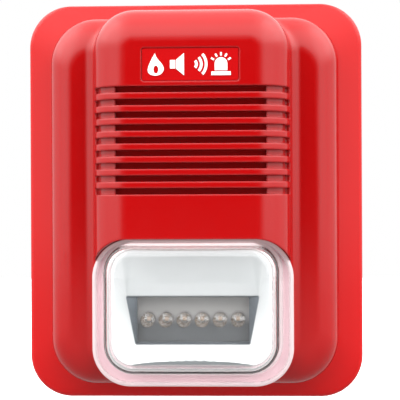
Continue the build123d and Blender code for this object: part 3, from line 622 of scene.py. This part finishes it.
def led_insides():
    """The lead frame in each lamp: a post, an anvil with a bright cup, and the die in it."""
    frames, dies = Builder(), Builder()
    lamps = islands("strobe_leds")
    back = lamps[0][1].y
    rim = back - CUP_REACH
    # Each lead as (x from the lamp's axis, depth of its top behind the rim, half width).
    leads = (
        (-LEAD_PITCH / 2, 0.9 * MM, 0.25 * MM),
        (LEAD_PITCH / 2, 0.3 * MM, 0.2 * MM),
    )
    for lamp in lamps:
        x, z = middle(lamp)
        frames.lathe((x, z), [(radius, rim + depth) for radius, depth in CUP])
        for aside, depth, half in leads:
            top = rim + depth
            frames.slab(square(x + aside, z, half), back, top)
            left, right = sorted((x + aside / 4, x + aside))
            arm = [(left, z - half), (right, z - half), (right, z + half), (left, z + half)]
            frames.slab(arm, top + ARM_THICKNESS, top)
        floor_level = rim + CUP_FLOOR
        dies.slab(square(x, z, DIE_HALF), floor_level, floor_level - DIE_THICKNESS)
    frames.place("led_lead_frames", materials["tinned_metal"], "tinned_metal", smooth=False)
    dies.place("led_dies", materials["die_amber"], "ceramic_grey", smooth=False)


# How far a lead's axis is inside the end of its part, and half of the spacing of a pair.
LEAD_INSET = 0.2 * MM
LEAD_PAIRS = {"capacitors": 1.25 * MM, "inductor_core": 2.5 * MM, "wire_headers": 1.25 * MM}
CHIP_HALF_ROW = 3.8 * MM
TRANSISTOR_INSET = 0.8 * MM


def lead_ends():
    """Where the leads of the board's parts come through it, as (x, z) points."""
    ends = []
    for name in ("resistors", "diodes"):
        for low, high in islands(name):
            level = (low.z + high.z) / 2
            ends += [(low.x + LEAD_INSET, level), (high.x - LEAD_INSET, level)]
    for name, aside in LEAD_PAIRS.items():
        for box in islands(name):
            x, z = middle(box)
            ends += [(x - aside, z), (x + aside, z)]
    x, z = middle(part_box("controller_chip"))
    for step in range(4):
        across = x + (step - 1.5) * LEAD_PITCH
        ends += [(across, z - CHIP_HALF_ROW), (across, z + CHIP_HALF_ROW)]
    low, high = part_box("power_transistor")
    x, z = (low.x + high.x) / 2, low.z + TRANSISTOR_INSET
    ends += [(x + step * LEAD_PITCH, z) for step in (-1, 0, 1)]
    ends += [middle(box) for box in islands("terminal_pins")]
    return ends


# The solder's profiles, as (radius, rise from the board) points in millimetres. A lamp's
# lead goes on past its cone, which is cut off flat.
BOARD_CONE = [(1.0, 0.0), (0.6, 0.18), (0.38, 0.55), (0.3, 0.95), (0, 1.05)]
LAMP_CONE = [(0.8, 0.0), (0.45, 0.2), (0.32, 0.8), (0.26, 1.2)]
CONE_SIDES = 14


def solder_joints():
    """A bright cone of solder on the wall side of the boards, round each lead."""
    joints = Builder()
    lamp_leads = [middle(box) for box in islands("led_leads")]
    groups = (("main_board", BOARD_CONE, lead_ends()), ("led_board", LAMP_CONE, lamp_leads))
    for board, cone, centres in groups:
        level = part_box(board)[1].y
        profile = [(radius * MM, level + rise * MM) for radius, rise in cone]
        for centre in centres:
            joints.lathe(centre, profile, CONE_SIDES)
    joints.place("solder_joints", materials["tinned_metal"], "tinned_metal")


# Tracks start inside the board and rise above it. Every other stretch of a track is a step
# thicker, so that no two faces lie in one plane.
TRACK_WIDTH = 1.1 * MM
TRACK_RISE = 0.06 * MM
TRACK_STEP = 0.02 * MM
# The supply rails: their width, distance from the board's sides and from its ends.
RAIL_WIDTH = 2.2 * MM
RAIL_INSET = 3.2 * MM
RAIL_END = 12 * MM
# How many times further apart the terminals' tracks end than they start.
TERMINAL_SPREAD = 2.1


def board_tracks():
    """Copper tracks under the solder mask, on the wall side of the main board."""
    tracks = Builder()
    low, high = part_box("main_board")
    back, face = high.y - TRACK_STEP, high.y + TRACK_RISE

    def route(*points):
        for number, (start, end) in enumerate(zip(points, points[1:])):
            tracks.strip(start, end, TRACK_WIDTH, back, face + (number % 2) * TRACK_STEP)

    # Short links between the resistors of a row.
    rows = islands("resistors")
    for left, right in zip(rows, rows[1:]):
        level = (left[0].z + left[1].z) / 2
        if right[0].x > left[1].x:
            route((left[1].x - LEAD_INSET, level), (right[0].x + LEAD_INSET, level))
    # A bundle from the rows' outer ends, down one side and back in.
    rails = sorted({round((box[0].z + box[1].z) / 2, 5) for box in rows})
    edge = max(box[1].x for box in rows)
    tail = 8 * MM
    for step, level in enumerate(rails):
        aside = (3.0 + 2.0 * step) * MM
        turn = edge + aside
        drop = (-6.0 - 3.0 * step) * MM
        route((edge, level), (turn, level - aside), (turn, drop), (turn - tail, drop - tail))
    # Stepped tracks up from the diodes, the terminals and the wire headers.
    for box in islands("diodes"):
        x, z = box[0].x + LEAD_INSET, middle(box)[1]
        side = x + 4 * MM
        route((x, z), (x, z + 5 * MM), (side, z + 9 * MM), (side, z + 15 * MM))
    for box in islands("terminal_pins"):
        x, z = middle(box)
        side = x * TERMINAL_SPREAD
        bend = z + 3.5 * MM
        route((x, z), (x, bend), (side, bend + abs(side - x)), (side, z + 14 * MM))
    for box in islands("wire_headers"):
        x, z = middle(box)
        side = x - 6 * MM
        route((x - LEAD_PAIRS["wire_headers"], z), (side, z + 4 * MM), (side, z + 12 * MM))
    # Two wide supply rails down the sides, clear of the fixing holes.
    for side in (-1, 1):
        x = side * (high.x - RAIL_INSET)
        tracks.strip((x, low.z + RAIL_END), (x, high.z - RAIL_END), RAIL_WIDTH, back, face)
    tracks.place("board_tracks", materials["track_mask"], "green_laminate", smooth=False)


WIRE_RADIUS = 0.27 * MM
# The gap between the coil's ends and the cheeks, in wire radii.
WIRE_CLEARANCE = 1.2


def winding():
    """The inductor's copper wire, wound in close turns between the core's cheeks."""
    low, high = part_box("inductor_winding")
    radius = (high.x - low.x) / 2 - WIRE_RADIUS
    depth = high.y - low.y
    turns = int(depth / (2 * WIRE_RADIUS)) - 1
    pitch = (depth - 2 * WIRE_CLEARANCE * WIRE_RADIUS) / turns
    start = high.y - WIRE_CLEARANCE * WIRE_RADIUS
    turned = Builder()
    turned.coil(middle((low, high)), radius, WIRE_RADIUS, start, pitch, turns)
    obj = turned.place("winding_turns", materials["copper_winding"], "copper_winding")
    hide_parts("inductor_winding")


led_insides()
solder_joints()
board_tracks()
winding()


# --- World, floor and camera --------------------------------------------------------

# The tent's brightness as (place, brightness) stops: by the angle from the camera's side in
# degrees, which dims it in the gap that the camera looks through and behind the object, and
# by how far the direction turns up and to the side, whose brightnesses are added.
GAP_STOPS = [(0, 0.015), (11, 0.015), (27, 1.0), (85, 1.0), (125, 0.5), (180, 0.5)]
HEIGHT_STOPS = [(-1, 0.12), (-0.3, 0.22), (0.1, 0.4), (0.5, 2.9), (0.8, 3.2), (1, 2.4)]
SIDE_STOPS = [(0, 0.0), (0.3, 0.36), (0.6, 1.7), (0.85, 1.6), (1, 1.2)]


def studio_world():
    """A white tent, brightest overhead. Seen directly, it is plain white."""
    scene.world = bpy.data.worlds.new("tent")
    w = Nodes(scene.world)

    def curve(source, stops):
        """A smooth curve through stops along a coordinate, from the first to the last."""
        low, high = stops[0][0], stops[-1][0]
        made = w.node("ValToRGB")
        w.feed(made.inputs[0], w.ramp(source, 0.0, 1.0, low, high))
        made.color_ramp.interpolation = "EASE"
        elements = made.color_ramp.elements
        while len(elements) < len(stops):
            elements.new(0.5)
        for element, (place, value) in zip(elements, stops):
            element.position = (place - low) / (high - low)
            element.color = colour(value, value, value)
        return made.outputs[0]

    direction = w.parts(w.node("TexCoord").outputs["Generated"])
    towards = w.maths("MULTIPLY", direction["Y"], -1.0)
    gap = curve(w.maths("DEGREES", w.maths("ARCCOSINE", towards)), GAP_STOPS)
    height = curve(direction["Z"], HEIGHT_STOPS)
    side = curve(w.maths("ABSOLUTE", direction["X"]), SIDE_STOPS)
    tent = w.maths("MULTIPLY", gap, w.maths("ADD", height, side))
    strength = w.node("Mix", data_type="FLOAT")
    w.feed(strength.inputs[0], w.node("LightPath").outputs["Is Camera Ray"])
    w.feed(strength.inputs[2], tent)
    w.feed(strength.inputs[3], 1.0)
    background = w.node("Background")
    background.inputs["Color"].default_value = colour(1, 1, 1)
    w.feed(background.inputs["Strength"], strength.outputs[0])
    w.feed(w.node("OutputWorld").inputs["Surface"], background.outputs[0])


FLOOR_LEVEL = -0.1
FLOOR_HALF = 1.2


def floor():
    """A pale floor below the object. It is darker in reflections and bounced light."""
    mesh = bpy.data.meshes.new("floor")
    corners = [(x, z, FLOOR_LEVEL) for x, z in square(0.0, 0.0, FLOOR_HALF)]
    mesh.from_pydata(corners, [], [(0, 1, 2, 3)])
    obj = bpy.data.objects.new("floor", mesh)
    scene.collection.objects.link(obj)
    s = Shader("floor")
    pale = s.mix(s.noise(0.2, 3), colour(0.9, 0.9, 0.9), colour(0.95, 0.95, 0.95))
    seen = s.node("LightPath").outputs["Is Camera Ray"]
    tone = s.mix(seen, colour(0.24, 0.24, 0.24), pale)
    obj.data.materials.append(s.surface(s.principled(Base_Color=tone, Roughness=0.8)))


SENSOR_WIDTH = 36.0
LENS_LENGTH = 116.91
CAMERA_DISTANCE = 0.47
CAMERA_AZIMUTH = math.radians(2.4)
CAMERA_PAN = math.radians(-0.177)
CAMERA_TILT = math.radians(0.026)
CAMERA_ROLL = math.radians(-0.25)


def camera():
    """Level and almost straight on, a little to the right of the middle."""
    data = bpy.data.cameras.new("camera")
    data.sensor_width = SENSOR_WIDTH
    data.lens = LENS_LENGTH
    obj = bpy.data.objects.new("camera", data)
    scene.collection.objects.link(obj)
    scene.camera = obj
    place = Matrix.Translation((0.0, -CAMERA_DISTANCE, 0.0))
    orbit = Matrix.Rotation(CAMERA_AZIMUTH, 4, "Z")
    pan = Matrix.Rotation(CAMERA_PAN, 4, "Z")
    tilt = Matrix.Rotation(math.pi / 2 + CAMERA_TILT, 4, "X")
    obj.matrix_world = orbit @ place @ pan @ tilt @ Matrix.Rotation(CAMERA_ROLL, 4, "Z")


studio_world()
floor()
camera()
scene.view_settings.view_transform = "Standard"
